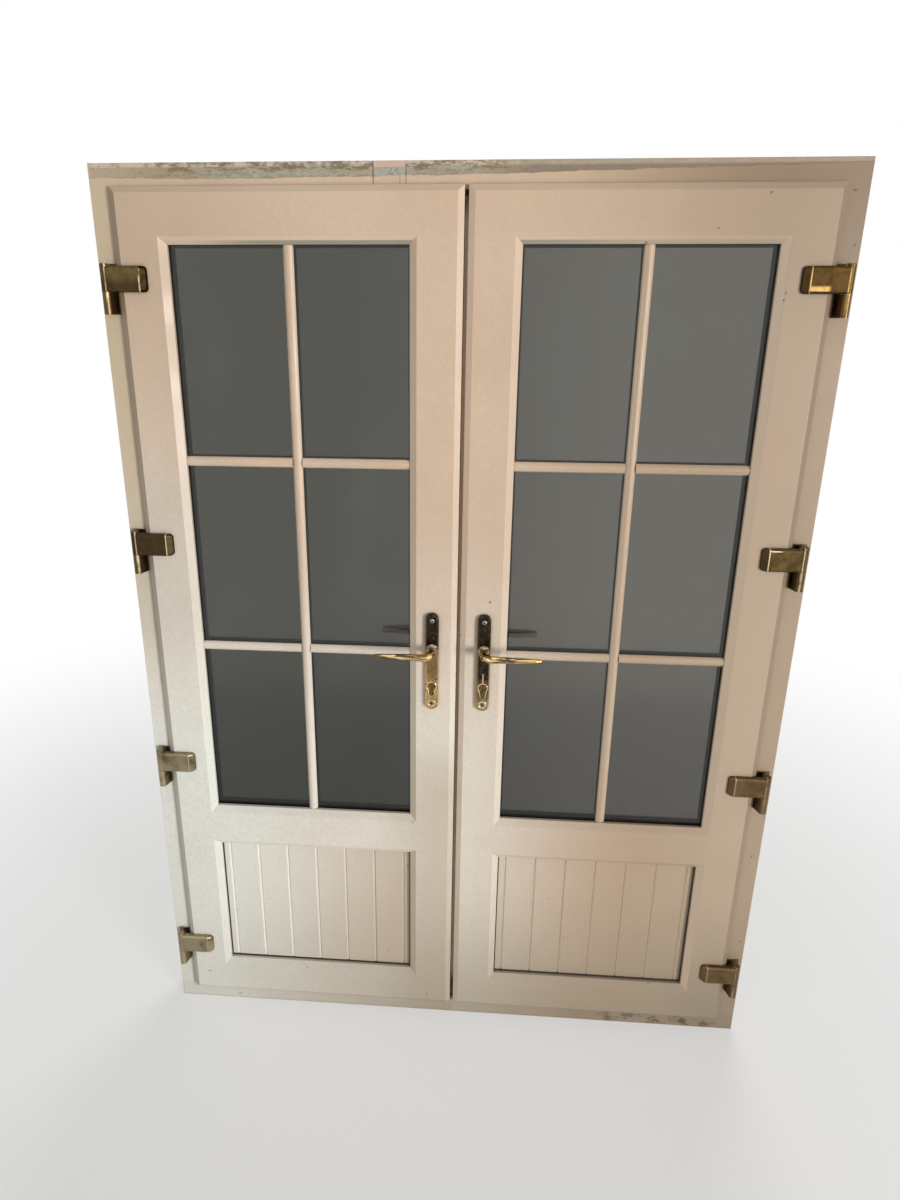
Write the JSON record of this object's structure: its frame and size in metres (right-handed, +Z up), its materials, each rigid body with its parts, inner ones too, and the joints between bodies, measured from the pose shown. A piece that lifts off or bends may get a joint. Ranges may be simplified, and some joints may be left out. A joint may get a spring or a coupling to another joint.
{
  "type": "french doors",
  "caption": "Pair of outward-opening cream plastic french doors in their frame, glazed above with glazing bars, boarded panels below, brass hinges and lever handles.",
  "frame": {"origin": "middle of the sill's bottom face, halfway through the frame's depth", "axes": "+Z up, +X to the right seen from outside, +Y from outside into the room"},
  "size_m": [1.5, 0.192, 2.1],
  "materials": {
    "cream_plastic": "satin cream plastic, dusty and stained along the head",
    "cream_panel": "satin cream plastic boards",
    "glass": "clear float glass with dust",
    "black_rubber": "matt black",
    "black_spacer": "matt black",
    "packer_plastic": "moulded",
    "hinge_brass": "tarnished, worn bright along edges",
    "handle_brass": "polished, tarnished dark in places",
    "cylinder_brass": "dull machined",
    "zinc_steel": "zinc plated"
  },
  "bodies": {
    "frame": {"outer_frame": "cream_plastic", "frame_seal": "black_rubber", "bolt_keeps": "zinc_steel", "hinge_pins": "zinc_steel", "left_hinge_base_1": "hinge_brass", "left_hinge_base_2": "hinge_brass", "left_hinge_base_3": "hinge_brass", "left_hinge_base_4": "hinge_brass", "right_hinge_base_1": "hinge_brass", "right_hinge_base_2": "hinge_brass", "right_hinge_base_3": "hinge_brass", "right_hinge_base_4": "hinge_brass"},
    "left_leaf": {"left_leaf_frame": "cream_plastic", "left_outer_pane": "glass", "left_inner_pane": "glass", "left_pane_spacer": "black_spacer", "left_glazing_packers": "packer_plastic", "left_gaskets": "black_rubber", "left_glazing_beads": "cream_plastic", "left_glazing_bars": "cream_plastic", "left_lower_panel": "cream_panel", "left_outer_backplate": "handle_brass", "left_inner_backplate": "handle_brass", "left_handle_screws": "handle_brass", "left_key_cylinder": "cylinder_brass", "left_lock_case": "zinc_steel", "left_hinge_flag_1": "hinge_brass", "left_hinge_flag_2": "hinge_brass", "left_hinge_flag_3": "hinge_brass", "left_hinge_flag_4": "hinge_brass", "left_faceplate": "zinc_steel"},
    "right_leaf": {"right_leaf_frame": "cream_plastic", "right_outer_pane": "glass", "right_inner_pane": "glass", "right_pane_spacer": "black_spacer", "right_glazing_packers": "packer_plastic", "right_gaskets": "black_rubber", "right_glazing_beads": "cream_plastic", "right_glazing_bars": "cream_plastic", "right_lower_panel": "cream_panel", "right_outer_backplate": "handle_brass", "right_inner_backplate": "handle_brass", "right_handle_screws": "handle_brass", "right_key_cylinder": "cylinder_brass", "right_lock_case": "zinc_steel", "right_hinge_flag_1": "hinge_brass", "right_hinge_flag_2": "hinge_brass", "right_hinge_flag_3": "hinge_brass", "right_hinge_flag_4": "hinge_brass", "floating_mullion": "cream_plastic"},
    "left_lever": {"left_outer_lever": "handle_brass", "left_inner_lever": "handle_brass", "left_spindle": "zinc_steel"},
    "right_lever": {"right_outer_lever": "handle_brass", "right_inner_lever": "handle_brass", "right_spindle": "zinc_steel"},
    "left_latch": {"left_latch_bolt": "zinc_steel"},
    "left_drive": {"left_drive_rail": "zinc_steel"},
    "right_top_shoot": {"right_top_bolt": "zinc_steel"},
    "right_bottom_shoot": {"right_bottom_bolt": "zinc_steel"}
  },
  "joints": [
    {"name": "left_leaf_swing", "type": "hinge", "parent": "frame", "child": "left_leaf", "pos_m": [-0.729, -0.057, 1.05], "axis": [0, 0, -1], "range_deg": [0, 110]},
    {"name": "right_leaf_swing", "type": "hinge", "parent": "frame", "child": "right_leaf", "pos_m": [0.729, -0.057, 1.05], "axis": [0, 0, 1], "range_deg": [0, 110]},
    {"name": "left_lever_turn", "type": "hinge", "parent": "left_leaf", "child": "left_lever", "pos_m": [-0.059, -0.018, 1.091], "axis": [0, -1, 0], "range_deg": [-40, 40], "stiffness_Nm_per_rad": 6, "springref_deg": -1.49},
    {"name": "right_lever_turn", "type": "hinge", "parent": "right_leaf", "child": "right_lever", "pos_m": [0.059, -0.018, 1.091], "axis": [0, 1, 0], "range_deg": [-40, 0], "stiffness_Nm_per_rad": 6},
    {"name": "left_latch_slide", "type": "slide", "parent": "left_leaf", "child": "left_latch", "axis": [-1, 0, 0], "range_m": [0, 0.01], "stiffness_N_per_m": 200, "springref_m": -0.004},
    {"name": "left_drive_slide", "type": "slide", "parent": "left_leaf", "child": "left_drive", "axis": [0, 0, 1], "range_m": [-0.018, 0.018]},
    {"name": "right_top_bolt_slide", "type": "slide", "parent": "right_leaf", "child": "right_top_shoot", "axis": [0, 0, 1], "range_m": [0, 0.024]},
    {"name": "right_bottom_bolt_slide", "type": "slide", "parent": "right_leaf", "child": "right_bottom_shoot", "axis": [0, 0, -1], "range_m": [0, 0.024]}
  ],
  "couplings": [
    {"joint": "left_drive_slide", "follows": "left_lever_turn", "m_per_rad": -0.025757},
    {"joint": "right_top_bolt_slide", "follows": "right_lever_turn", "m_per_rad": -0.034343},
    {"joint": "right_bottom_bolt_slide", "follows": "right_lever_turn", "m_per_rad": -0.034343}
  ]
}
